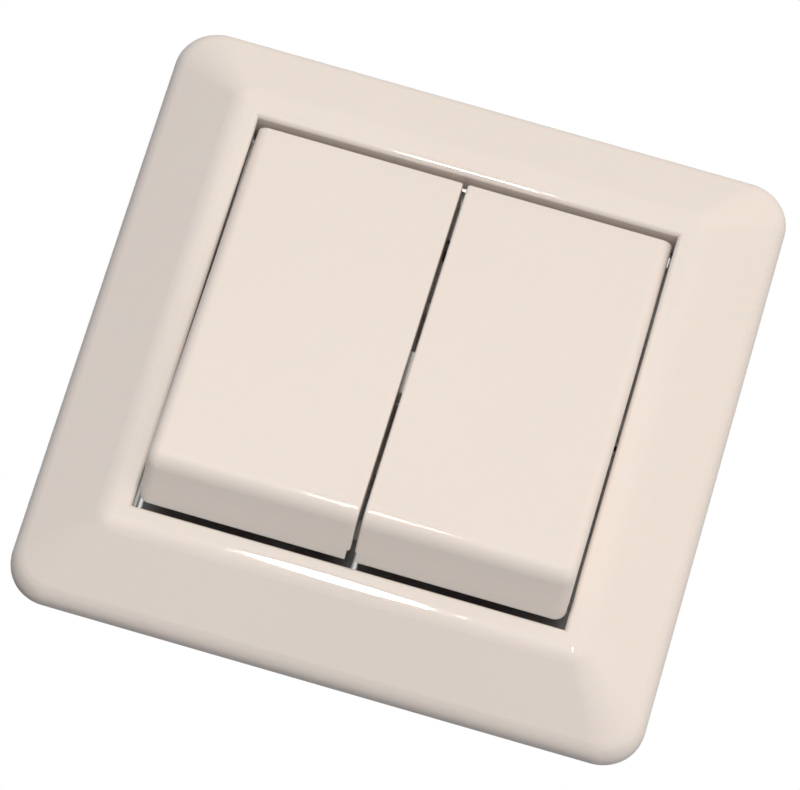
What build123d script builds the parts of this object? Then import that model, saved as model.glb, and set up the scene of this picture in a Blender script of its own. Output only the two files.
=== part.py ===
from build123d import *
from math import cos, radians, sin
import os

# Two-gang rocker switch for a round flush wall box, with its square cover frame.
# +X is to the viewer's right, +Z is up and -Y points out of the wall towards the viewer.
# The origin is the centre of the wall plane, where the steel support ring lies on the plaster.
# Heights are measured from the wall towards the viewer, so a height h is at y = -h, and
# what lies inside the wall box has a negative height. Both rockers rest with the top pressed.

os.makedirs("parts", exist_ok=True)

# Driving dimensions, in millimetres and degrees

# cover frame: the opening is the main size, and the other widths follow from it
opening_size = 55.0
rim_width = 3.0
band_width = 10.0
rim_height = 8.0
frame_edge_height = 2.2
frame_corner_radius = 5.5
frame_edge_radius = 3.0
rim_corner_radius = 1.6
crease_radius = 4.5
opening_edge_radius = 0.65
frame_wall = 2.0
collar_wall = 1.5
head_notch_width = 8.0
head_notch_height = 2.9
foot_room_height = 4.2

# rockers
centre_gap = 0.6
side_gap = 0.35
rocker_tilt = 8.0
pivot_height = 0.3
face_height = 10.7
face_inset = 2.25
face_shift = 0.2
face_wall = 2.0
side_skirt = 1.4
end_skirt = 1.5
bottom_edge_radius = 2.4
top_edge_radius = 0.4
outer_edge_radius = 1.5
gap_edge_radius = 0.35
wall_gap = 0.05
foot_reach = 0.15
foot_relief = 0.4
bridge_notch = 9.0
rib_width = 1.0
rib_depth = 2.5
rib_inset = 3.25
leg_inset = 1.2
leg_wall = 1.2
leg_length = 6.1
barb_depth = 0.5
barb_height = 1.3

# clearances
running_fit = 0.05
slide_fit = 0.1
loose_fit = 0.3

# support ring
ring_inset = 5.0
ring_corner_radius = 8.0
ring_thickness = 1.2
box_screw_inset = 5.5
box_screw_hole_radius = 1.7
lamp_hole_width = 6.0
lamp_hole_height = 3.2
lamp_hole_inset = 1.8

# housing: carrier in front, base behind
housing_inset = 6.0
housing_corner_radius = 8.0
carrier_thickness = 2.5
carrier_boss_height = 24.4
boss_corner_radius = 1.0
bearing_top = 3.0
bearing_half = 3.2
bridge_width = 6.0
bridge_half = 2.9
bridge_top = 6.5
window_half = 6.0
base_depth = 21.5
base_wall = 1.5
base_floor = 3.0
base_edge_radius = 1.0
centre_wall = 2.0

# toggles, plungers and their springs
toggle_half = 4.6
toggle_foot = 1.8
trunnion_radius = 1.5
trunnion_length = 1.9
trunnion_cover = 0.6
stem_width = 5.6
stem_half = 2.6
stem_length = 7.0
plunger_radius = 1.6
plunger_reach = 11.0
plunger_length = 7.5
bore_top = 4.5
spring_wire = 0.35
spring_pitch = 1.0

# contacts
strip_thickness = 0.8
see_saw_width = 5.0
lower_arm = 8.0
upper_arm = 7.0
tip_radius = 1.4
tip_height = 0.8
tip_place = 6.2
contact_gap = 0.05
bar_half = 2.5
post_width = 3.4
ear_drop = 1.0
ear_half = 1.4
ear_wall = 0.6
strip_width = 5.0
strip_end = 4.0
arm_stop_gap = 0.3

# terminals
pillar_size = 6.0
pillar_inset = 5.7
pillar_boss_gap = 0.4
wire_entry_radius = 1.4
wire_bore_roof = 1.45
clamp_screw_radius = 1.5
clamp_head_radius = 2.1
clamp_head_height = 1.7
clamp_head_sink = 0.5

# claws and their screws
claw_screw_offset = 3.3
claw_screw_radius = 1.5
claw_head_radius = 2.7
claw_screw_depth = 6.0
thread_collar_radius = 2.6
thread_collar_depth = 1.6
claw_lever = 2.4
claw_pin_radius = 1.0
claw_half = 4.0
claw_wall = 1.2
claw_arm_reach = 1.8
claw_tail_depth = 20.0
claw_toe = 1.3
ear_gap = 0.2
ring_ear_wall = 1.2
ring_ear_half = 1.4

# housing screws and frame clips
housing_screw_inset_x = 3.5
housing_screw_inset_z = 5.5
housing_screw_radius = 1.3
housing_head_radius = 2.3
housing_head_height = 1.4
housing_screw_depth = 10.0
screw_boss_radius = 2.6
slot_width = 0.7
slot_depth = 0.5
clip_place = 20.0
clip_width = 5.0
clip_base_length = 4.4
clip_base_height = 1.1
clip_tongue = 1.0
clip_tongue_top = 5.2
clip_barb = 0.6
clip_barb_low = 3.0
clip_barb_high = 4.2
clip_peg = 2.8

# Sizes that follow from the ones above

tilt_sin = sin(radians(rocker_tilt))
tilt_cos = cos(radians(rocker_tilt))

rim_size = opening_size + 2 * rim_width
frame_size = rim_size + 2 * band_width
band_fall = (rim_height - frame_edge_height) / band_width
band_offset = frame_wall * (1 + band_fall**2) ** 0.5
inner_top = rim_height - frame_wall
inner_size = frame_size - 2 * frame_wall
inner_edge = rim_height - (band_width - frame_wall) * band_fall - band_offset
inner_rim_size = rim_size - 2 * (band_offset - frame_wall) / band_fall
collar_size = opening_size + 2 * collar_wall
collar_back = ring_thickness + loose_fit

rocker_gap_x = centre_gap / 2
rocker_outer_x = opening_size / 2 - side_gap
rocker_width = rocker_outer_x - rocker_gap_x
rocker_x = (rocker_outer_x + rocker_gap_x) / 2
face_half = opening_size / 2 - face_inset
rib_half = face_half - rib_inset
underside = face_height - face_wall
ring_lift = ring_thickness + loose_fit - pivot_height
foot_lift = wall_gap - pivot_height
foot_swing = opening_size / 2 + foot_reach
foot_z = foot_swing * tilt_cos - foot_lift * tilt_sin
foot_height = foot_swing * tilt_sin + foot_lift * tilt_cos
draft_tan = (foot_z - face_half) / (face_height - foot_height)
end_skirt_across = end_skirt * (1 + draft_tan**2) ** 0.5
foot_inner_z = (foot_z - end_skirt_across) * tilt_cos + foot_height * tilt_sin
foot_slot_low = foot_inner_z - 2 * slide_fit
foot_slot_high = foot_swing + 2 * slide_fit
leg_face = toggle_half + slide_fit
leg_end = underside - leg_length
barb_seat = leg_end + barb_height

ring_size = frame_size - 2 * ring_inset
box_screw_spacing = ring_size - 2 * box_screw_inset
housing_size = opening_size - 2 * housing_inset
lamp_hole_place = housing_size / 2 - lamp_hole_inset
toggle_width = 2 * (housing_size / 2 - rocker_x - trunnion_length - trunnion_cover)
leg_width = toggle_width - 2 * leg_inset

carrier_back = -carrier_thickness
base_back = carrier_back - base_depth
floor_height = base_back + base_floor
chamber_size = housing_size - 2 * base_wall
window_low_x = rocker_x - toggle_width / 2 - loose_fit
window_high_x = rocker_x + toggle_width / 2 + loose_fit
trunnion_low_x = rocker_x - toggle_width / 2 - trunnion_length
trunnion_high_x = rocker_x + toggle_width / 2 + trunnion_length

vertex_height = pivot_height - plunger_reach - slide_fit
knife_height = vertex_height - strip_thickness / tilt_cos
fixed_tip_top = knife_height - tip_height - contact_gap
strip_front = fixed_tip_top - tip_height
deck_height = strip_front - strip_thickness

housing_screw_x = housing_size / 2 - housing_screw_inset_x
housing_screw_z = housing_size / 2 - housing_screw_inset_z
pillar_place = housing_size / 2 - pillar_inset
output_offset = housing_screw_x - screw_boss_radius - pillar_boss_gap - pillar_size / 2
clamp_screw_height = (floor_height + deck_height) / 2
wire_bore_end = deck_height - wire_bore_roof

claw_screw_place = housing_size / 2 + claw_screw_offset
claw_pivot_place = claw_screw_place + claw_lever
claw_arm_end = claw_screw_place - claw_arm_reach
claw_thread_radius = claw_screw_radius + running_fit
claw_pivot_depth = claw_screw_depth + slide_fit + claw_wall / 2


def height_plane(height):
    """Plane parallel to the wall at this height, facing the viewer, with X right and Z up."""
    return Plane.XZ.offset(height)


def block(x_span, height_span, z_span, mode=Mode.ADD):
    """Box between two x values, two heights above the wall and two z values."""
    (x0, x1), (h0, h1), (z0, z1) = x_span, height_span, z_span
    with Locations(((x0 + x1) / 2, -(h0 + h1) / 2, (z0 + z1) / 2)):
        Box(abs(x1 - x0), abs(h1 - h0), abs(z1 - z0), mode=mode)


def pin_x(x_span, height, z, radius, mode=Mode.ADD):
    """Round pin along X."""
    with Locations(Location(((x_span[0] + x_span[1]) / 2, -height, z), (0, 90, 0))):
        Cylinder(radius, abs(x_span[1] - x_span[0]), mode=mode)


def pin_y(x, height_span, z, radius, mode=Mode.ADD):
    """Round pin square to the wall."""
    with Locations(Location((x, -(height_span[0] + height_span[1]) / 2, z), (90, 0, 0))):
        Cylinder(radius, abs(height_span[1] - height_span[0]), mode=mode)


def pin_z(x, height, z_span, radius, mode=Mode.ADD):
    """Round pin along Z."""
    with Locations((x, -height, (z_span[0] + z_span[1]) / 2)):
        Cylinder(radius, abs(z_span[1] - z_span[0]), mode=mode)


def countersunk(x, z, head_radius, shank_radius, mode=Mode.ADD):
    """Countersunk head, flush with the front of the ring, at 90 degrees."""
    depth = head_radius - shank_radius
    with Locations(Location((x, -(ring_thickness - depth / 2), z), (90, 0, 0))):
        Cone(shank_radius, head_radius, depth, mode=mode)


def at_tilt(piece, height, angle):
    """The piece turned about the X axis that lies at this height."""
    return piece.rotate(Axis((0, -height, 0), (1, 0, 0)), angle)


def write(piece, name):
    """Label a finished piece and write its file."""
    piece.label = name
    export_step(piece, f"parts/{name}.step")


# Cover frame: a hollow moulding with a sloped band, a flat rim and a collar round the opening


def cover_frame_piece():
    with BuildPart() as cover_frame:
        with BuildSketch(height_plane(0)):
            RectangleRounded(frame_size, frame_size, frame_corner_radius)
        extrude(amount=frame_edge_height)
        with BuildSketch(height_plane(frame_edge_height)):
            RectangleRounded(frame_size, frame_size, frame_corner_radius)
        with BuildSketch(height_plane(rim_height)):
            RectangleRounded(rim_size, rim_size, rim_corner_radius)
        loft(ruled=True)
        fillet(edges_at_height(cover_frame, frame_edge_height), radius=frame_edge_radius)
        fillet(edges_at_height(cover_frame, rim_height), radius=crease_radius)

        # hollow back, parallel to the outside
        inner_corner = frame_corner_radius - frame_wall
        with BuildSketch(height_plane(0)):
            RectangleRounded(inner_size, inner_size, inner_corner)
        extrude(amount=inner_edge, mode=Mode.SUBTRACT)
        with BuildSketch(height_plane(inner_edge)):
            RectangleRounded(inner_size, inner_size, inner_corner)
        with BuildSketch(height_plane(inner_top)):
            RectangleRounded(inner_rim_size, inner_rim_size, rim_corner_radius)
        loft(ruled=True, mode=Mode.SUBTRACT)

        # collar and opening
        with BuildSketch(height_plane(collar_back)):
            Rectangle(collar_size, collar_size)
        extrude(amount=rim_height - frame_wall / 2 - collar_back)
        with BuildSketch(height_plane(0)):
            Rectangle(opening_size, opening_size)
        extrude(amount=rim_height, mode=Mode.SUBTRACT)
        fillet(opening_edges(cover_frame), radius=opening_edge_radius)

        # room for the feet of the rockers and for the heads of the box screws
        opening_x = (-opening_size / 2, opening_size / 2)
        notch_x = (-head_notch_width / 2, head_notch_width / 2)
        for end in (-1, 1):
            foot_room = (end * opening_size / 2, end * (foot_swing + loose_fit))
            block(opening_x, (0, foot_room_height), foot_room, mode=Mode.SUBTRACT)
            notch_z = (end * opening_size / 2, end * collar_size / 2)
            block(notch_x, (0, head_notch_height), notch_z, mode=Mode.SUBTRACT)
        # catches for the frame clips
        for side in (-1, 1):
            for end in (-1, 1):
                catch_x = (
                    side * collar_size / 2,
                    side * (collar_size / 2 - clip_barb - slide_fit),
                )
                block(
                    catch_x,
                    (clip_barb_low - slide_fit, clip_barb_high + slide_fit),
                    clip_span(end, slide_fit),
                    mode=Mode.SUBTRACT,
                )
    return cover_frame.part


def edges_at_height(builder, height):
    """Edges that lie in the plane at this height."""
    return builder.edges().filter_by_position(Axis.Y, -height - 0.01, -height + 0.01)


def opening_edges(builder):
    """Front edges of the opening, inside the rim's crease."""
    half = opening_size / 2 + 0.01
    return edges_at_height(builder, rim_height).filter_by(
        lambda edge: abs(edge.center().X) < half and abs(edge.center().Z) < half
    )


def clip_span(end, room=0.0):
    """Z span of one frame clip, with room on both sides."""
    half = clip_width / 2 + room
    return (end * clip_place - half, end * clip_place + half)


# Support ring: stamped steel plate with window, slots, holes and the ears of the claws


def support_ring_piece():
    with BuildPart() as support_ring:
        with BuildSketch(height_plane(0)):
            RectangleRounded(ring_size, ring_size, ring_corner_radius)
            RectangleRounded(
                housing_size + 2 * slide_fit,
                carrier_boss_height + 2 * slide_fit,
                boss_corner_radius + slide_fit,
                mode=Mode.SUBTRACT,
            )
            for end in (-1, 1):
                with Locations((0, end * box_screw_spacing / 2)):
                    Circle(box_screw_hole_radius, mode=Mode.SUBTRACT)
                with Locations((0, end * lamp_hole_place)):
                    Rectangle(lamp_hole_width, lamp_hole_height, mode=Mode.SUBTRACT)
                for side in (-1, 1):
                    with Locations((side * housing_screw_x, end * housing_screw_z)):
                        Circle(housing_screw_radius + slide_fit, mode=Mode.SUBTRACT)
                    with Locations((side * peg_x(), end * clip_place)):
                        hole = clip_peg + 2 * slide_fit
                        Rectangle(hole, hole, mode=Mode.SUBTRACT)
        extrude(amount=ring_thickness)
        for side in (-1, 1):
            for end in (-1, 1):
                foot_slot_x = (
                    side * (rocker_gap_x + foot_relief - slide_fit),
                    side * (rocker_outer_x + slide_fit),
                )
                foot_slot_z = (end * foot_slot_low, end * foot_slot_high)
                block(foot_slot_x, (0, ring_thickness), foot_slot_z, mode=Mode.SUBTRACT)
                add_ring_ear(side, end)
            # threaded collar of the claw screw
            place = side * claw_screw_place
            pin_y(place, (-thread_collar_depth, 0), 0, thread_collar_radius)
            thread_span = (-thread_collar_depth, ring_thickness)
            pin_y(place, thread_span, 0, claw_thread_radius, mode=Mode.SUBTRACT)
            countersunk(
                place, 0, claw_head_radius + slide_fit, claw_thread_radius, mode=Mode.SUBTRACT
            )
    return support_ring.part


def add_ring_ear(side, end):
    """One ear, bent back from the ring, with the bore of the claw's pivot."""
    ear_z = (end * (claw_half + ear_gap), end * (claw_half + ear_gap + ring_ear_wall))
    pivot_x = side * claw_pivot_place
    ear_x = (pivot_x - ring_ear_half, pivot_x + ring_ear_half)
    block(ear_x, (-claw_pivot_depth - ring_ear_half, 0), ear_z)
    pin_z(
        pivot_x, -claw_pivot_depth, ear_z, claw_pin_radius + running_fit, mode=Mode.SUBTRACT
    )


def peg_x():
    """Distance of a frame clip's peg from the centre."""
    return collar_size / 2 + slide_fit + clip_base_length / 2


# Frame clips: four identical clips, pegged in the ring, that catch the frame's collar


def frame_clips_piece():
    with BuildPart() as frame_clips:
        near = collar_size / 2 + slide_fit
        base_top = ring_thickness + clip_base_height
        for side in (-1, 1):
            for end in (-1, 1):
                span = clip_span(end)
                base_x = (side * near, side * (near + clip_base_length))
                block(base_x, (ring_thickness, base_top), span)
                tongue_x = (side * near, side * (near + clip_tongue))
                block(tongue_x, (base_top, clip_tongue_top), span)
                block(
                    (side * (collar_size / 2 - clip_barb), side * near),
                    (clip_barb_low, clip_barb_high),
                    span,
                )
                peg = clip_peg / 2
                block(
                    (side * peg_x() - peg, side * peg_x() + peg),
                    (slide_fit, ring_thickness),
                    (end * clip_place - peg, end * clip_place + peg),
                )
    return frame_clips.part


# Carrier: front moulding with the windows and bearings of the toggles and the centre bridge


def carrier_piece():
    with BuildPart() as carrier:
        with BuildSketch(height_plane(carrier_back)):
            RectangleRounded(housing_size, housing_size, housing_corner_radius)
        extrude(amount=carrier_thickness)
        with BuildSketch(height_plane(0)):
            RectangleRounded(housing_size, carrier_boss_height, boss_corner_radius)
        extrude(amount=ring_thickness)
        half = housing_size / 2
        boss_half = carrier_boss_height / 2
        block((-half, half), (0, bearing_top), (-bearing_half, bearing_half))
        bridge_x = bridge_width / 2
        block((-bridge_x, bridge_x), (0, bridge_top), (-bridge_half, bridge_half))

        # cored pockets above and below the bridge, and the lamp hole
        for end in (-1, 1):
            pocket = (end * bearing_half, end * (boss_half - end_skirt))
            block(
                (-bridge_x, bridge_x),
                (carrier_back + base_wall / 2, ring_thickness),
                pocket,
                mode=Mode.SUBTRACT,
            )
        lamp_x = lamp_hole_width / 2
        lamp_z = (lamp_hole_place - lamp_hole_height / 2, lamp_hole_place + lamp_hole_height / 2)
        block((-lamp_x, lamp_x), (carrier_back, 0), lamp_z, mode=Mode.SUBTRACT)

        for side in (-1, 1):
            window_x = (side * window_low_x, side * window_high_x)
            block(
                window_x,
                (carrier_back, bearing_top),
                (-window_half, window_half),
                mode=Mode.SUBTRACT,
            )
            for low, high in trunnion_spans():
                cut_trunnion_slot((side * low, side * high))
            for end in (-1, 1):
                pin_y(
                    side * housing_screw_x,
                    (carrier_back, 0),
                    end * housing_screw_z,
                    housing_screw_radius + slide_fit,
                    mode=Mode.SUBTRACT,
                )
    return carrier.part


def trunnion_spans():
    """X spans, on the right-hand side, of the slots for a toggle's inner and outer trunnion."""
    return (
        (trunnion_low_x - slide_fit, window_low_x),
        (window_high_x, trunnion_high_x + slide_fit),
    )


def cut_trunnion_slot(x_span):
    """Round-topped slot, open at the back, that the trunnion enters during assembly."""
    radius = trunnion_radius + running_fit
    pin_x(x_span, pivot_height, 0, radius, mode=Mode.SUBTRACT)
    block(x_span, (carrier_back, pivot_height), (-radius, radius), mode=Mode.SUBTRACT)


# Housing base: deep box with two switching chambers, pillar pockets, keepers and wire entries


def housing_base_piece():
    with BuildPart() as housing_base:
        with BuildSketch(height_plane(base_back)):
            RectangleRounded(housing_size, housing_size, housing_corner_radius)
        extrude(amount=base_depth)
        fillet(edges_at_height(housing_base, base_back), radius=base_edge_radius)
        with BuildSketch(height_plane(deck_height)):
            RectangleRounded(chamber_size, chamber_size, housing_corner_radius - base_wall)
        extrude(amount=carrier_back - deck_height, mode=Mode.SUBTRACT)
        add_chamber_walls()
        for side in (-1, 1):
            for end in (-1, 1):
                add_screw_boss(side * housing_screw_x, end * housing_screw_z)
            # stop for the upper arm of the see-saw
            block(
                (side * (rocker_x - strip_end / 2), side * (rocker_x + strip_end / 2)),
                (deck_height, knife_height - arm_stop_gap),
                (upper_arm - 2 * strip_thickness, upper_arm - strip_thickness),
            )
        for x, end in pillar_places():
            cut_pillar_pocket(x, end)
    return housing_base.part


def add_chamber_walls():
    """Wall between the chambers, the cross rib and the keepers behind the trunnions."""
    half = chamber_size / 2 + base_wall / 2
    wall_x = (-centre_wall / 2, centre_wall / 2)
    keeper_top = pivot_height - trunnion_radius - slide_fit
    keeper_half = trunnion_radius - running_fit
    above_bar = strip_front + 2 * loose_fit
    block(wall_x, (deck_height, carrier_back), (-half, -bar_half - 2 * loose_fit))
    block(wall_x, (above_bar, carrier_back), (-bar_half - 2 * loose_fit, half))
    rib_x = window_low_x
    block((-rib_x, rib_x), (above_bar, carrier_back), (-keeper_half, keeper_half))
    for side in (-1, 1):
        for low, high in trunnion_spans():
            keeper_x = (side * (low + slide_fit), side * (high - slide_fit))
            block(keeper_x, (carrier_back - base_wall, keeper_top), (-keeper_half, keeper_half))


def add_screw_boss(x, z):
    """Boss for one housing screw, with its bore."""
    pin_y(x, (deck_height, carrier_back), z, screw_boss_radius)
    bore_depth = carrier_back - housing_screw_depth
    pin_y(
        x, (bore_depth, carrier_back), z, housing_screw_radius + running_fit, mode=Mode.SUBTRACT
    )


def pillar_places():
    """X and the end, above or below the middle, of each terminal."""
    return ((0.0, 1), (-output_offset, -1), (output_offset, -1))


def cut_pillar_pocket(x, end):
    """Pocket of one pillar terminal, its wire entry and the way in for its screw."""
    half = pillar_size / 2 + slide_fit
    z = end * pillar_place
    pocket_z = (z - half, z + half)
    block((x - half, x + half), (floor_height, deck_height), pocket_z, mode=Mode.SUBTRACT)
    pin_y(x, (base_back, floor_height), z, wire_entry_radius, mode=Mode.SUBTRACT)
    way_in = (end * pillar_place, end * housing_size / 2)
    pin_z(x, clamp_screw_height, way_in, clamp_head_radius + slide_fit, mode=Mode.SUBTRACT)


# Rocker caps: hollow mouldings with drafted ends and two clip legs each


def end_z(end, height):
    """Z of the cap's outside, at its upper (1) or lower (-1) end, at a height above the pivot."""
    face_z = end * face_half + face_shift
    share = (face_height - height) / (face_height - foot_height)
    return face_z + (end * foot_z - face_z) * share


def side_edge(z):
    """Height above the pivot of the side skirt's lower edge: it clears the ring when pressed."""
    return (ring_lift + z * tilt_sin) / tilt_cos


def rocker_piece(side):
    with BuildPart() as rocker:
        low_x = min(side * rocker_gap_x, side * rocker_outer_x)
        inner_foot = foot_z - end_skirt_across
        skirt = [(foot_z, foot_height), (inner_foot, foot_height), (inner_foot, side_edge(inner_foot))]
        outline = [(end_z(1, face_height), face_height)] + skirt + [(0, side_edge(0))]
        outline += [(-z, height) for z, height in reversed(skirt)]
        outline += [(end_z(-1, face_height), face_height)]
        with BuildSketch(Plane.YZ.offset(low_x)):
            with BuildLine():
                Polyline(*[(-pivot_height - height, z) for z, height in outline], close=True)
            make_face()
        extrude(amount=rocker_width)
        # the wide bottom edge first, then the outer side with its corners, then the other two
        fillet(face_edge(rocker, Axis.Z, end_z(-1, face_height)), bottom_edge_radius)
        fillet(face_edge(rocker, Axis.X, side * rocker_outer_x), outer_edge_radius)
        fillet(face_edge(rocker, Axis.Z, end_z(1, face_height)), top_edge_radius)
        fillet(face_edge(rocker, Axis.X, side * rocker_gap_x), gap_edge_radius)

        # hollow inside, parallel to the drafted ends
        hollow = [
            (end_z(end, height) - end * end_skirt_across, height)
            for end, height in ((-1, underside), (1, underside), (1, 0), (-1, 0))
        ]
        with BuildSketch(Plane.YZ.offset(low_x + side_skirt)):
            with BuildLine():
                Polyline(*[(-pivot_height - height, z) for z, height in hollow], close=True)
            make_face()
        extrude(amount=rocker_width - 2 * side_skirt, mode=Mode.SUBTRACT)
        cut_for_bridge(side)
        add_ribs_and_legs(side)
    return at_tilt(rocker.part, pivot_height, -rocker_tilt)


def face_edge(builder, axis, place):
    """Straight edge of the flat face that lies at this place along the axis."""
    along = Axis.Z if axis == Axis.X else Axis.X
    height = pivot_height + face_height
    return edges_at_height(builder, height).filter_by(along).filter_by_position(
        axis, place - 0.01, place + 0.01
    )


def cut_for_bridge(side):
    """Notch in the gap-side skirt for the centre bridge, and feet that clear the ring's web."""
    skirt_x = (side * rocker_gap_x, side * (rocker_gap_x + side_skirt))
    notch_top = pivot_height + underside - rib_width / 2
    block(skirt_x, (0, notch_top), (-bridge_notch / 2, bridge_notch / 2), mode=Mode.SUBTRACT)
    relief_x = (side * rocker_gap_x, side * (rocker_gap_x + foot_relief))
    relief_heights = (pivot_height + foot_height, pivot_height + side_edge(foot_z))
    for end in (-1, 1):
        relief_z = (end * (foot_z - 2 * end_skirt), end * (foot_z + end_skirt))
        block(relief_x, relief_heights, relief_z, mode=Mode.SUBTRACT)


def add_ribs_and_legs(side):
    """Stiffening ribs under the face and the clip legs that snap over the toggle."""
    top = pivot_height + underside + face_wall / 2
    for x in (rocker_x - toggle_width / 2 - rib_width, rocker_x + toggle_width / 2 + rib_width):
        rib_x = (side * x - rib_width / 2, side * x + rib_width / 2)
        rib_low = pivot_height + underside - rib_depth
        block(rib_x, (rib_low, top), (-rib_half, rib_half))
    leg_x = (side * rocker_x - leg_width / 2, side * rocker_x + leg_width / 2)
    for end in (-1, 1):
        leg_z = (end * leg_face, end * (leg_face + leg_wall))
        block(leg_x, (pivot_height + leg_end, top), leg_z)
        barb_z = (end * (leg_face - barb_depth), end * leg_face)
        block(leg_x, (pivot_height + leg_end, pivot_height + barb_seat), barb_z)


# Toggles: they turn on two trunnions in the carrier, and their bore guides the plunger


def toggle_piece(side):
    with BuildPart() as toggle:
        half = toggle_width / 2
        x = side * rocker_x
        body_x = (x - half, x + half)
        body_span = (pivot_height - toggle_foot, pivot_height + underside)
        block(body_x, body_span, (-toggle_half, toggle_half))
        stem_x = (x - stem_width / 2, x + stem_width / 2)
        block(
            stem_x,
            (pivot_height - stem_length, pivot_height),
            (-stem_half, stem_half),
        )
        trunnion_x = (x - half - trunnion_length, x + half + trunnion_length)
        pin_x(trunnion_x, pivot_height, 0, trunnion_radius)
        for end in (-1, 1):
            catch_z = (end * (toggle_half - barb_depth - slide_fit), end * toggle_half)
            catch_span = (
                pivot_height + leg_end - slide_fit,
                pivot_height + barb_seat + slide_fit,
            )
            block(body_x, catch_span, catch_z, mode=Mode.SUBTRACT)
        pin_y(
            x,
            (pivot_height - stem_length, pivot_height + bore_top),
            0,
            plunger_radius + slide_fit,
            mode=Mode.SUBTRACT,
        )
    return at_tilt(toggle.part, pivot_height, -rocker_tilt)


def plunger_piece(side):
    """Plunger with a round nose, in the bore of its toggle."""
    with BuildPart() as plunger:
        nose = pivot_height - plunger_reach + plunger_radius
        tail = pivot_height - plunger_reach + plunger_length
        pin_y(side * rocker_x, (nose, tail), 0, plunger_radius)
        with Locations((side * rocker_x, -nose, 0)):
            Sphere(plunger_radius)
    return at_tilt(plunger.part, pivot_height, -rocker_tilt)


def spring_piece(side):
    """Coil spring between the plunger and the end of the bore."""
    low = pivot_height - plunger_reach + plunger_length + spring_wire / 2 + running_fit
    high = pivot_height + bore_top - spring_wire / 2 - running_fit
    coil_radius = plunger_radius - spring_wire / 2 - running_fit
    with BuildPart() as spring:
        with BuildLine():
            coil = Helix(
                pitch=spring_pitch,
                height=high - low,
                radius=coil_radius,
                center=(side * rocker_x, -low, 0),
                direction=(0, -1, 0),
            )
        with BuildSketch(Plane(origin=coil @ 0, z_dir=coil % 0)):
            Circle(spring_wire / 2)
        sweep(path=coil, is_frenet=True)
    return at_tilt(spring.part, pivot_height, -rocker_tilt)


# Contacts: V-shaped see-saws on the knife edges of the common bar


def see_saw_outline():
    """Z and height of the V-shaped strip, with the knife edge at the rear of its vertex."""
    rise = strip_thickness
    rear = [
        (-lower_arm * tilt_cos, lower_arm * tilt_sin),
        (0, 0),
        (upper_arm * tilt_cos, upper_arm * tilt_sin),
    ]
    front = [
        (upper_arm * tilt_cos - rise * tilt_sin, upper_arm * tilt_sin + rise * tilt_cos),
        (0, rise / tilt_cos),
        (-lower_arm * tilt_cos + rise * tilt_sin, lower_arm * tilt_sin + rise * tilt_cos),
    ]
    return rear + front


def see_saw_piece(side):
    with BuildPart() as see_saw:
        low_x = side * rocker_x - see_saw_width / 2
        with BuildSketch(Plane.YZ.offset(low_x)):
            with BuildLine():
                points = [(-knife_height - height, z) for z, height in see_saw_outline()]
                Polyline(*points, close=True)
            make_face()
        extrude(amount=see_saw_width)
        # ears that keep the strip on its post
        for edge in (-1, 1):
            ear_x = (
                side * rocker_x + edge * (post_width / 2 + slide_fit),
                side * rocker_x + edge * (post_width / 2 + slide_fit + ear_wall),
            )
            ear_span = (knife_height - ear_drop, knife_height + strip_thickness / 2)
            block(ear_x, ear_span, (-ear_half, ear_half))
    return at_tilt(see_saw.part, knife_height, rocker_tilt)


def moving_tip_piece(side):
    """Silver rivet head on the rear of the lower arm, flat on the fixed one when closed."""
    with BuildPart() as moving_tip:
        pin_y(side * rocker_x, (knife_height - tip_height, knife_height), -tip_place, tip_radius)
    return moving_tip.part


def fixed_tip_piece(side):
    """Silver rivet head on the fixed contact."""
    with BuildPart() as fixed_tip:
        pin_y(side * rocker_x, (strip_front, fixed_tip_top), -tip_place, tip_radius)
    return fixed_tip.part


def fixed_contact_piece(side):
    """Brass strip on the output pillar, with a side step to below the see-saw."""
    with BuildPart() as fixed_contact:
        half = strip_width / 2
        far = -pillar_place - pillar_size / 2
        elbow = -tip_place - 2 * tip_radius
        for x, low in ((side * output_offset, far), (side * rocker_x, elbow)):
            block((x - half, x + half), (deck_height, strip_front), (low, -strip_end))
    return fixed_contact.part


def common_bar_piece():
    """Brass bar with a leg to the feed pillar and one post behind each see-saw."""
    with BuildPart() as common_bar:
        reach = rocker_x + post_width / 2
        block((-reach, reach), (deck_height, strip_front), (-bar_half, bar_half))
        leg = strip_width / 2
        block((-leg, leg), (deck_height, strip_front), (0, pillar_place + pillar_size / 2))
        for side in (-1, 1):
            post_x = (side * rocker_x - post_width / 2, side * rocker_x + post_width / 2)
            post_half = strip_thickness / 2
            block(post_x, (strip_front, knife_height - contact_gap), (-post_half, post_half))
    return common_bar.part


# Terminals: brass pillars, clamped from the side by screws


def pillar_piece(x, end):
    with BuildPart() as pillar:
        half = pillar_size / 2
        z = end * pillar_place
        block((x - half, x + half), (floor_height, deck_height), (z - half, z + half))
        wire_span = (floor_height, wire_bore_end)
        pin_y(x, wire_span, z, wire_entry_radius, mode=Mode.SUBTRACT)
        pin_z(
            x,
            clamp_screw_height,
            (z, z + end * half),
            clamp_screw_radius + running_fit,
            mode=Mode.SUBTRACT,
        )
    return pillar.part


def terminal_screws_piece():
    """Three identical slotted screws, open, with their ends at the edge of the wire bores."""
    with BuildPart() as terminal_screws:
        head_top = housing_size / 2 - clamp_head_sink
        head_low = head_top - clamp_head_height
        for x, end in pillar_places():
            shank = (end * (pillar_place + wire_entry_radius), end * head_low)
            pin_z(x, clamp_screw_height, shank, clamp_screw_radius)
            pin_z(x, clamp_screw_height, (end * head_low, end * head_top), clamp_head_radius)
            block(
                (x - clamp_head_radius, x + clamp_head_radius),
                (clamp_screw_height - slot_width / 2, clamp_screw_height + slot_width / 2),
                (end * (head_top - slot_depth), end * head_top),
                mode=Mode.SUBTRACT,
            )
    return terminal_screws.part


# Spreader claws: levers in the ears of the ring, pushed out by their screws


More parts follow.
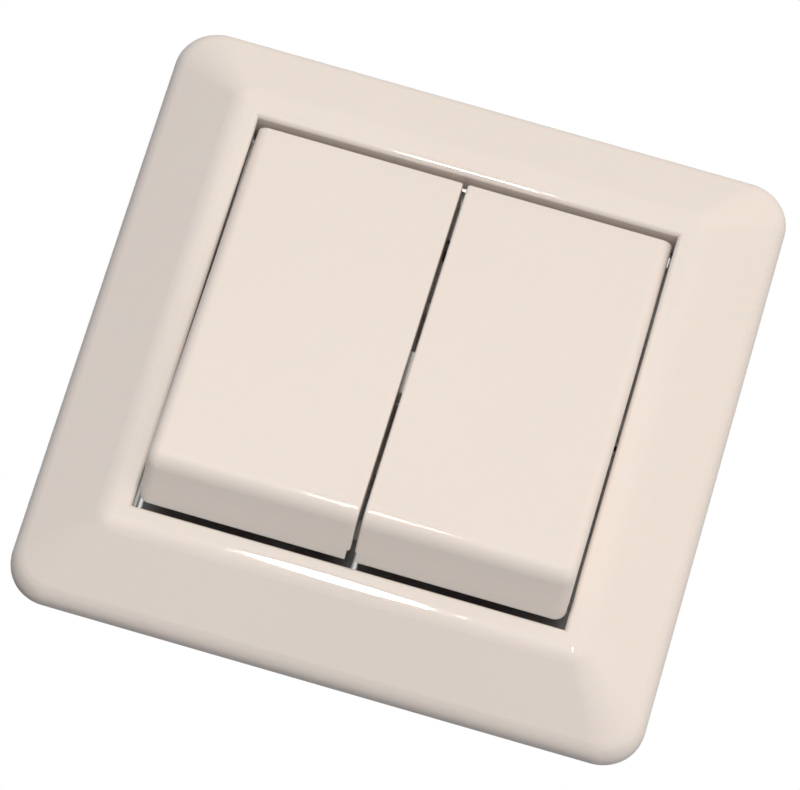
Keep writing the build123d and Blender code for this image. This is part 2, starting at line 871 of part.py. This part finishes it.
def claw_piece(side):
    with BuildPart() as claw:
        pivot_x = side * claw_pivot_place
        half_wall = claw_wall / 2
        width = (-claw_half, claw_half)
        arm_x = (side * claw_arm_end, pivot_x + side * half_wall)
        arm_span = (-claw_pivot_depth - half_wall, -claw_pivot_depth + half_wall)
        block(arm_x, arm_span, width)
        tail_x = (pivot_x - side * half_wall, pivot_x + side * half_wall)
        tail_span = (-claw_tail_depth, -claw_pivot_depth)
        block(tail_x, tail_span, width)
        # bent toe with a notch that leaves two teeth
        toe_x = (pivot_x, pivot_x + side * (half_wall + claw_toe))
        block(toe_x, (-claw_tail_depth, -claw_tail_depth + claw_wall), width)
        notch = claw_half / 2
        block(
            toe_x,
            (-claw_tail_depth, -claw_tail_depth + claw_wall),
            (-notch, notch),
            mode=Mode.SUBTRACT,
        )
        reach = claw_half + ear_gap + ring_ear_wall
        pin_z(pivot_x, -claw_pivot_depth, (-reach, reach), claw_pin_radius)
    return claw.part


def claw_screws_piece():
    """Two identical countersunk screws, backed off, with their ends at the arms of the claws."""
    with BuildPart() as claw_screws:
        cone_depth = claw_head_radius - claw_screw_radius
        for side in (-1, 1):
            x = side * claw_screw_place
            pin_y(x, (-claw_screw_depth, ring_thickness - cone_depth), 0, claw_screw_radius)
            countersunk(x, 0, claw_head_radius, claw_screw_radius)
            block(
                (x - claw_head_radius, x + claw_head_radius),
                (ring_thickness - slot_depth, ring_thickness),
                (-slot_width / 2, slot_width / 2),
                mode=Mode.SUBTRACT,
            )
    return claw_screws.part


def housing_screws_piece():
    """Four identical pan-head screws through ring and carrier into the base."""
    with BuildPart() as housing_screws:
        head_top = ring_thickness + housing_head_height
        for side in (-1, 1):
            for end in (-1, 1):
                x, z = side * housing_screw_x, end * housing_screw_z
                tip = carrier_back - housing_screw_depth + loose_fit
                pin_y(x, (tip, ring_thickness), z, housing_screw_radius)
                pin_y(x, (ring_thickness, head_top), z, housing_head_radius)
                block(
                    (x - housing_head_radius, x + housing_head_radius),
                    (head_top - slot_depth, head_top),
                    (z - slot_width / 2, z + slot_width / 2),
                    mode=Mode.SUBTRACT,
                )
    return housing_screws.part


# Build and write every piece

write(cover_frame_piece(), "cover_frame")
write(support_ring_piece(), "support_ring")
write(frame_clips_piece(), "frame_clips")
write(carrier_piece(), "carrier")
write(housing_base_piece(), "housing_base")
for side, hand in ((-1, "left"), (1, "right")):
    write(rocker_piece(side), f"{hand}_rocker")
    write(toggle_piece(side), f"{hand}_toggle")
    write(plunger_piece(side), f"{hand}_plunger")
    write(spring_piece(side), f"{hand}_spring")
    write(see_saw_piece(side), f"{hand}_see_saw")
    write(moving_tip_piece(side), f"{hand}_moving_tip")
    write(fixed_tip_piece(side), f"{hand}_fixed_tip")
    write(fixed_contact_piece(side), f"{hand}_fixed_contact")
    write(claw_piece(side), f"{hand}_claw")
    write(pillar_piece(side * output_offset, -1), f"{hand}_terminal")
write(pillar_piece(0.0, 1), "feed_terminal")
write(common_bar_piece(), "common_bar")
write(terminal_screws_piece(), "terminal_screws")
write(claw_screws_piece(), "claw_screws")
write(housing_screws_piece(), "housing_screws")
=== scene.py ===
# %% [markdown]
# # Dressing a two-gang rocker switch
#
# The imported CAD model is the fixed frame: every moulding, stamping and screw already has its
# place, its shape and its joints. This lesson gives each surface the finish of the real piece
# and sets a camera and soft studio light. The shapes could be modelled anew here, but a rigid
# moulding with true roundings needs no second mesh, so the work goes into the materials.

import math

import bpy
from mathutils import Matrix, Vector

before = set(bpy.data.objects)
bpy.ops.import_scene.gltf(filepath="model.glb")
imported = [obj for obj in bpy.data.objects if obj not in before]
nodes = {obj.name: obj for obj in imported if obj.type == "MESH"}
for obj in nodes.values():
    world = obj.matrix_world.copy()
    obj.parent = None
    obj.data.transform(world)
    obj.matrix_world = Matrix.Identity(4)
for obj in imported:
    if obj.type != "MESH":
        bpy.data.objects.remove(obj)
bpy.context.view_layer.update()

# %% [markdown]
# ## One unit, one way to say a colour, one way to add a node
#
# Blender works in metres here and the switch is a few centimetres wide, so sizes are written
# in millimetres and turned once. Colours are written as the eye sees them, in sRGB hex, and
# one function turns them to the linear values that a shader needs. A shader could be built
# with one helper for each kind of node, but then a reader learns the helpers and not the
# nodes, so there is a single small function for all of them. A mix node has sockets of the
# same name for numbers and for colours, so its colour sockets are called by their places.

# %% Units, colour, the node helper and an empty material
MM = 0.001
COLOUR_A, COLOUR_B, COLOUR_RESULT = 6, 7, 2


def linear(hex_colour):
    """An sRGB hex colour as linear RGBA."""
    channels = [int(hex_colour[i : i + 2], 16) / 255 for i in (1, 3, 5)]
    straight = [c / 12.92 if c <= 0.04045 else ((c + 0.055) / 1.055) ** 2.4 for c in channels]
    return (*straight, 1.0)


def add_node(tree, kind, inputs=None, **settings):
    """Add one node, set its properties, and give each input a value or a link."""
    node = tree.nodes.new(kind)
    for name, value in settings.items():
        setattr(node, name, value)
    for key, value in (inputs or {}).items():
        if isinstance(value, bpy.types.NodeSocket):
            tree.links.new(value, node.inputs[key])
        else:
            node.inputs[key].default_value = value
    return node


def new_material(name):
    """A material with an empty node tree, and that tree."""
    material = bpy.data.materials.new(name)
    material.use_nodes = True
    material.node_tree.nodes.clear()
    return material, material.node_tree


print("half grey in linear light:", [round(c, 3) for c in linear("#808080")])

# %% [markdown]
# ## The camera
#
# The photo was taken from below and a little to the side, with the camera rolled, so the
# square frame leans in the picture. The four corners of the frame and of the rocker opening
# give the pose: three turns of the object before the lens, its place, its distance and the
# focal length. A free hand could match the picture by eye, but a fitted pose keeps every edge
# where the photo has it.

# %% Camera from the fitted pose
TILT, SWING, ROLL = -22.66, -2.92, -17.08
SHIFT_RIGHT, SHIFT_UP, DISTANCE = 0.6 * MM, 0.3 * MM, 686.0 * MM
FOCAL_PIXELS, PHOTO_WIDTH = 5472.0, 800.0
SENSOR_WIDTH = 36.0
CLIP_START = 10.0 * MM

turn = (
    Matrix.Rotation(math.radians(ROLL), 3, "Z")
    @ Matrix.Rotation(math.radians(TILT), 3, "X")
    @ Matrix.Rotation(math.radians(SWING), 3, "Y")
)
wall_to_view = Matrix(((1, 0, 0), (0, 0, 1), (0, -1, 0)))
to_camera = turn @ wall_to_view
axes = to_camera.transposed()
place = axes @ -Vector((SHIFT_RIGHT, SHIFT_UP, -DISTANCE))

camera_data = bpy.data.cameras.new("photo_camera")
camera_data.sensor_width = SENSOR_WIDTH
camera_data.lens = FOCAL_PIXELS * SENSOR_WIDTH / PHOTO_WIDTH
camera_data.clip_start = CLIP_START
camera = bpy.data.objects.new("photo_camera", camera_data)
bpy.context.collection.objects.link(camera)
camera.matrix_world = Matrix.Translation(place) @ axes.to_4x4()
bpy.context.scene.camera = camera
print("camera at", [round(c, 3) for c in place], "lens", round(camera_data.lens, 1))

# %% [markdown]
# ## Injection moulded plastic
#
# A moulded part is glossy but never a mirror: its skin has a slow, shallow waviness from
# cooling, called orange peel, and a fine grain from the tool face. Light goes a little way
# into the plastic and comes out again warmer, which keeps the narrow gaps from going black.
# A plain roughness value would give the broad sheen or the sharp gleam, not both, so a matter
# body carries a thin, polished skin as a coat. Scales are real sizes: waves of 2.6 mm, grain
# of 0.25 mm, a drift of tone over 38 mm as the plastic ages unevenly.

# %% Moulded plastic
TONE_DRIFT = 38.0 * MM
ORANGE_PEEL, PEEL_HEIGHT = 2.6 * MM, 1.0 * MM
FINE_GRAIN, GRAIN_HEIGHT, GRAIN_STRENGTH = 0.25 * MM, 0.1 * MM, 0.01
NOISE_LOW, NOISE_HIGH = 0.3, 0.7
SMOOTHEST, ROUGHEST = 0.85, 1.2
SKIN_ROUGHNESS = 0.025
LIGHT_DEPTH, DEPTH_BY_COLOUR = 1.2 * MM, (1.0, 0.4, 0.25)


def moulded_plastic(name, light, dark, roughness, ior=1.54, skin=0.0, peel=0.02, glow=0.0):
    """A moulded plastic: drifting tone, orange peel, fine grain and a glossy moulded skin."""
    material, tree = new_material(name)
    place_in_object = add_node(tree, "ShaderNodeTexCoord").outputs["Object"]
    drift = add_node(
        tree,
        "ShaderNodeTexNoise",
        {"Vector": place_in_object, "Scale": 1 / TONE_DRIFT, "Detail": 3.0},
    )
    tone = add_node(
        tree,
        "ShaderNodeMix",
        {"Factor": drift.outputs["Fac"], COLOUR_A: linear(dark), COLOUR_B: linear(light)},
        data_type="RGBA",
    )
    speckle = add_node(
        tree,
        "ShaderNodeTexNoise",
        {"Vector": place_in_object, "Scale": 1 / FINE_GRAIN, "Detail": 2.0},
    )
    rough = add_node(
        tree,
        "ShaderNodeMapRange",
        {
            "Value": speckle.outputs["Fac"],
            "From Min": NOISE_LOW,
            "From Max": NOISE_HIGH,
            "To Min": roughness * SMOOTHEST,
            "To Max": roughness * ROUGHEST,
        },
    )
    peel_noise = add_node(
        tree,
        "ShaderNodeTexNoise",
        {"Vector": place_in_object, "Scale": 1 / ORANGE_PEEL, "Detail": 1.0},
    )
    peel_bump = add_node(
        tree,
        "ShaderNodeBump",
        {"Height": peel_noise.outputs["Fac"], "Strength": peel, "Distance": PEEL_HEIGHT},
    )
    grain_bump = add_node(
        tree,
        "ShaderNodeBump",
        {
            "Height": speckle.outputs["Fac"],
            "Strength": GRAIN_STRENGTH,
            "Distance": GRAIN_HEIGHT,
            "Normal": peel_bump.outputs["Normal"],
        },
    )
    shader = add_node(
        tree,
        "ShaderNodeBsdfPrincipled",
        {
            "Base Color": tone.outputs[COLOUR_RESULT],
            "Roughness": rough.outputs["Result"],
            "IOR": ior,
            "Coat Weight": skin,
            "Coat Roughness": SKIN_ROUGHNESS,
            "Subsurface Weight": glow,
            "Subsurface Radius": DEPTH_BY_COLOUR,
            "Subsurface Scale": LIGHT_DEPTH,
            "Normal": grain_bump.outputs["Normal"],
        },
    )
    add_node(tree, "ShaderNodeOutputMaterial", {"Surface": shader.outputs["BSDF"]})
    return material


print("waves", ORANGE_PEEL / MM, "mm, grain", FINE_GRAIN / MM, "mm")

# %% [markdown]
# ## Cream ABS
#
# The cover frame and the rockers are ABS, which has an index of refraction of about 1.54. The
# frame keeps its polished skin, and the rockers are pressed every day, so fingers have taken
# most of their gleam. One material for both would be simpler, but then the rockers' long lower
# edges flash as brightly as the frame's rim, and the real ones don't.

# %% Cream ABS for the cover frame and rockers
CREAM_LIGHT, CREAM_DARK = "#E8DFD9", "#E3DAD3"
ABS_ROUGHNESS, ABS_GLOW = 0.5, 0.25
POLISHED_SKIN, WORN_SKIN = 1.0, 0.1
POLISHED_PEEL = 0.008

frame_abs = moulded_plastic(
    "cream ABS",
    CREAM_LIGHT,
    CREAM_DARK,
    ABS_ROUGHNESS,
    skin=POLISHED_SKIN,
    peel=POLISHED_PEEL,
    glow=ABS_GLOW,
)
rocker_abs = moulded_plastic(
    "cream ABS touched",
    CREAM_LIGHT,
    CREAM_DARK,
    ABS_ROUGHNESS,
    skin=WORN_SKIN,
    glow=ABS_GLOW,
)
print("materials:", frame_abs.name, "and", rocker_abs.name)

# %% [markdown]
# ## The hidden plastics
#
# Behind the rockers a pale polycarbonate carrier holds the bearings: it shows as a light
# bridge in the slot between the rockers. The box behind is brown phenolic, hard and heat
# proof, with a dull, slightly grainy skin. The toggles are glass-filled nylon in a contrasting
# colour, as makers mark moving parts, and the plungers are natural nylon. Each could have a
# shader of its own, but they are all mouldings, so they share one and differ in its values.

# %% Polycarbonate, thermoset and nylon
pale_polycarbonate = moulded_plastic(
    "pale polycarbonate", "#F3F1EC", "#EBE8E2", roughness=0.42, ior=1.58
)
dark_phenolic = moulded_plastic(
    "dark phenolic", "#54403A", "#46342F", roughness=0.55, ior=1.6, peel=0.05
)
filled_nylon = moulded_plastic("glass-filled nylon", "#B4573A", "#A34B30", roughness=0.48, ior=1.53)
natural_nylon = moulded_plastic("natural nylon", "#ECE9DD", "#E2DED0", roughness=0.4, ior=1.53)
for plastic in (pale_polycarbonate, dark_phenolic, filled_nylon, natural_nylon):
    print("plastic:", plastic.name)

# %% [markdown]
# ## Plated steel, brass and silver
#
# The ring and the claws are stamped from cold rolled strip and zinc plated: a pale, slightly
# bluish grey with fine lines from the rolling. Screws are turned from the same steel. The
# contacts are stamped brass that has dulled a little, with silver rivet heads. A metal's
# colour is its reflection, so metallic is one and the tone goes into the base colour. The
# rolling lines are a noise stretched along the strip, 0.15 mm apart across it. Zinc blooms in
# patches of about 6 mm, which change both tone and roughness. An anisotropic shader would also
# stretch the gleam, but lines that are really there hold up in a close view.

# %% Metals
ROLLING_LINE, LINE_HEIGHT = 0.15 * MM, 0.02 * MM
LINE_STRETCH = 0.03
PATCH = 6.0 * MM
BRIGHTEST_METAL, DULLEST_METAL = 0.8, 1.25
ROLLED, TURNED = 0.25, 0.1


def metal(name, light, dark, roughness, lines=ROLLED):
    """A metal with patchy tone and fine rolling lines along Z."""
    material, tree = new_material(name)
    place_in_object = add_node(tree, "ShaderNodeTexCoord").outputs["Object"]
    across = 1 / ROLLING_LINE
    stretched = add_node(
        tree,
        "ShaderNodeMapping",
        {"Vector": place_in_object, "Scale": (across, across, across * LINE_STRETCH)},
    )
    line_noise = add_node(
        tree,
        "ShaderNodeTexNoise",
        {"Vector": stretched.outputs["Vector"], "Scale": 1.0, "Detail": 3.0},
    )
    patches = add_node(
        tree, "ShaderNodeTexNoise", {"Vector": place_in_object, "Scale": 1 / PATCH, "Detail": 4.0}
    )
    tone = add_node(
        tree,
        "ShaderNodeMix",
        {"Factor": patches.outputs["Fac"], COLOUR_A: linear(dark), COLOUR_B: linear(light)},
        data_type="RGBA",
    )
    rough = add_node(
        tree,
        "ShaderNodeMapRange",
        {
            "Value": patches.outputs["Fac"],
            "From Min": NOISE_LOW,
            "From Max": NOISE_HIGH,
            "To Min": roughness * BRIGHTEST_METAL,
            "To Max": roughness * DULLEST_METAL,
        },
    )
    line_bump = add_node(
        tree,
        "ShaderNodeBump",
        {"Height": line_noise.outputs["Fac"], "Strength": lines, "Distance": LINE_HEIGHT},
    )
    shader = add_node(
        tree,
        "ShaderNodeBsdfPrincipled",
        {
            "Base Color": tone.outputs[COLOUR_RESULT],
            "Metallic": 1.0,
            "Roughness": rough.outputs["Result"],
            "Normal": line_bump.outputs["Normal"],
        },
    )
    add_node(tree, "ShaderNodeOutputMaterial", {"Surface": shader.outputs["BSDF"]})
    return material


zinc_plated_strip = metal("zinc-plated steel strip", "#C9CCCE", "#AEB2B5", roughness=0.36)
zinc_plated_screw = metal(
    "zinc-plated turned steel", "#D2D0C6", "#B4B2A8", roughness=0.3, lines=TURNED
)
spring_wire = metal("drawn spring steel", "#9EA0A3", "#85878A", roughness=0.3, lines=TURNED)
stamped_brass = metal("stamped brass", "#DDB765", "#C09648", roughness=0.3)
contact_silver = metal("silver alloy", "#E4E2DC", "#CBC9C2", roughness=0.22, lines=TURNED)
for finish in (zinc_plated_strip, zinc_plated_screw, spring_wire, stamped_brass, contact_silver):
    print("metal:", finish.name)

# %% [markdown]
# ## Dressing the CAD nodes
#
# Where the CAD shape is right, the piece only needs its finish: the material goes into the
# node's slots and the mesh stays as it is. A loop over one table does it, so that every node
# is seen to have a finish, and the count that it prints shows that none was left out.

# %% Give every node its finish
FINISHES = {
    frame_abs: ["cover_frame"],
    rocker_abs: ["left_rocker", "right_rocker"],
    pale_polycarbonate: ["carrier", "frame_clips"],
    dark_phenolic: ["housing_base"],
    filled_nylon: ["left_toggle", "right_toggle"],
    natural_nylon: ["left_plunger", "right_plunger"],
    zinc_plated_strip: ["support_ring", "left_claw", "right_claw"],
    zinc_plated_screw: ["claw_screws", "housing_screws", "terminal_screws"],
    spring_wire: ["left_spring", "right_spring"],
    stamped_brass: [
        "left_see_saw",
        "right_see_saw",
        "left_fixed_contact",
        "right_fixed_contact",
        "common_bar",
        "feed_terminal",
        "left_terminal",
        "right_terminal",
    ],
    contact_silver: ["left_moving_tip", "right_moving_tip", "left_fixed_tip", "right_fixed_tip"],
}
for material, names in FINISHES.items():
    for name in names:
        for slot in nodes[name].material_slots:
            slot.material = material
print("dressed", sum(len(names) for names in FINISHES.values()), "nodes of", len(nodes))

# %% [markdown]
# ## The floor
#
# A wall switch sits about 1.1 m above the floor, so that is where the plain pale floor goes.
# A wide floor would be simplest, but a pale floor throws light upwards and would brighten the
# undersides, which the photo shows darkest, so it is a small one.

# %% Floor
FLOOR_BELOW = 1100.0 * MM
FLOOR_HALF = 500.0 * MM
FLOOR_CLOUD = 250.0 * MM

floor_mesh = bpy.data.meshes.new("floor")
floor_signs = [(-1, -1), (1, -1), (1, 1), (-1, 1)]
floor_corners = [(x * FLOOR_HALF, y * FLOOR_HALF, -FLOOR_BELOW) for x, y in floor_signs]
floor_mesh.from_pydata(floor_corners, [], [(0, 1, 2, 3)])
floor = bpy.data.objects.new("floor", floor_mesh)
bpy.context.collection.objects.link(floor)

floor_paint, floor_tree = new_material("pale floor paint")
floor_noise = add_node(
    floor_tree, "ShaderNodeTexNoise", {"Scale": 1 / FLOOR_CLOUD, "Detail": 2.0}
)
floor_tone = add_node(
    floor_tree,
    "ShaderNodeMix",
    {
        "Factor": floor_noise.outputs["Fac"],
        COLOUR_A: linear("#D9D8D5"),
        COLOUR_B: linear("#E0DFDD"),
    },
    data_type="RGBA",
)
floor_shader = add_node(
    floor_tree,
    "ShaderNodeBsdfPrincipled",
    {"Base Color": floor_tone.outputs[COLOUR_RESULT], "Roughness": 0.8},
)
add_node(floor_tree, "ShaderNodeOutputMaterial", {"Surface": floor_shader.outputs["BSDF"]})
floor.data.materials.append(floor_paint)
print("floor", FLOOR_BELOW / MM, "mm below the switch")

# %% [markdown]
# ## A room made of one gradient
#
# The radiance of the room grows evenly from below left to above right, and its tint goes from
# cool to warm the same way. Cast on a surface, such a room gives each of the four slopes its
# own tone with no visible edge in any reflection. A ring of lamps would do the same, but every
# lamp would leave its own mark on the glossy frame. Straight behind the switch, as the camera
# sees it, the room is plain white, like the cut-out ground of the photo.

# %% World
BRIGHT_SIDE = Vector((0.6, -0.42, 0.68)).normalized()
DIM, BRIGHT = 0.0, 0.98
COOL, WARM = "#DCE9FF", "#FFF6EA"
WHITE = "#FFFFFF"
WHITE_EDGE, WHITE_CORE = math.radians(32), math.radians(14)
looking = axes @ Vector((0, 0, -1))

world = bpy.data.worlds.new("studio")
bpy.context.scene.world = world
world.use_nodes = True
sky = world.node_tree
sky.nodes.clear()
direction = add_node(sky, "ShaderNodeTexCoord").outputs["Generated"]


def along(vector):
    """How far a direction of the room points along this vector, from -1 to 1."""
    dot = add_node(
        sky, "ShaderNodeVectorMath", {0: direction, 1: tuple(vector)}, operation="DOT_PRODUCT"
    )
    return dot.outputs["Value"]


climb = add_node(
    sky, "ShaderNodeMapRange", {"Value": along(BRIGHT_SIDE), "From Min": -1.0, "From Max": 1.0}
)
tint = add_node(
    sky,
    "ShaderNodeMix",
    {"Factor": climb.outputs["Result"], COLOUR_A: linear(COOL), COLOUR_B: linear(WARM)},
    data_type="RGBA",
)
power = add_node(
    sky,
    "ShaderNodeMapRange",
    {"Value": climb.outputs["Result"], "To Min": DIM, "To Max": BRIGHT},
)
white = add_node(
    sky,
    "ShaderNodeMapRange",
    {
        "Value": along(looking),
        "From Min": math.cos(WHITE_EDGE),
        "From Max": math.cos(WHITE_CORE),
    },
    interpolation_type="SMOOTHSTEP",
)
room_tint = add_node(
    sky,
    "ShaderNodeMix",
    {
        "Factor": white.outputs["Result"],
        COLOUR_A: tint.outputs[COLOUR_RESULT],
        COLOUR_B: linear(WHITE),
    },
    data_type="RGBA",
)
room_power = add_node(
    sky,
    "ShaderNodeMix",
    {"Factor": white.outputs["Result"], "A": power.outputs["Result"], "B": 1.0},
)
background = add_node(
    sky,
    "ShaderNodeBackground",
    {"Color": room_tint.outputs[COLOUR_RESULT], "Strength": room_power.outputs["Result"]},
)
add_node(sky, "ShaderNodeOutputWorld", {"Surface": background.outputs["Background"]})
print("room from", DIM, "to", BRIGHT, "along", [round(c, 2) for c in BRIGHT_SIDE])

# %% [markdown]
# ## Two lamps
#
# The photo has a few short gleams: on the crease under the rockers, along the top of the
# opening and on the rockers' lower edges near the gap. They are one lamp in front, seen in
# each rounding that lies across. Its width sets how long they are, about 25 mm here, and its
# height how thick, so it is tall and narrow. A weak lamp beyond the camera looks into the
# gaps, as a camera's own flash does, and is left out of reflections so that it adds no gleam
# of its own. A sun lamp would be easier, but would cut hard shadows.

# %% Lamps
LAMP_PLACE = Vector((-53.0, -1200.0, 100.0)) * MM
LAMP_WIDTH, LAMP_HEIGHT, LAMP_WATTS = 56.0 * MM, 240.0 * MM, 4.6
FILL_PLACE = place * 1.3
FILL_SIZE, FILL_WATTS = 80.0 * MM, 1.2
LAMP_COLOUR = "#FFFBF4"


def soft_box(name, position, width, height, watts):
    """An oval area lamp that looks at the middle of the switch."""
    data = bpy.data.lights.new(name, "AREA")
    data.shape = "ELLIPSE"
    data.size, data.size_y = width, height
    data.energy = watts
    data.color = linear(LAMP_COLOUR)[:3]
    lamp = bpy.data.objects.new(name, data)
    bpy.context.collection.objects.link(lamp)
    lamp.location = position
    lamp.rotation_mode = "QUATERNION"
    lamp.rotation_quaternion = position.to_track_quat("Z", "Y")
    return lamp


soft_box("tall_light", LAMP_PLACE, LAMP_WIDTH, LAMP_HEIGHT, LAMP_WATTS)
low_fill = soft_box("low_fill", FILL_PLACE, FILL_SIZE, FILL_SIZE, FILL_WATTS)
low_fill.visible_glossy = False

# %% [markdown]
# ## Colour management
#
# The photo's cream is close to clipping, so the plain display transform is used: a filmic
# one would grey the white background and shift the cream.

# %% View settings and the end
bpy.context.scene.view_settings.view_transform = "Standard"
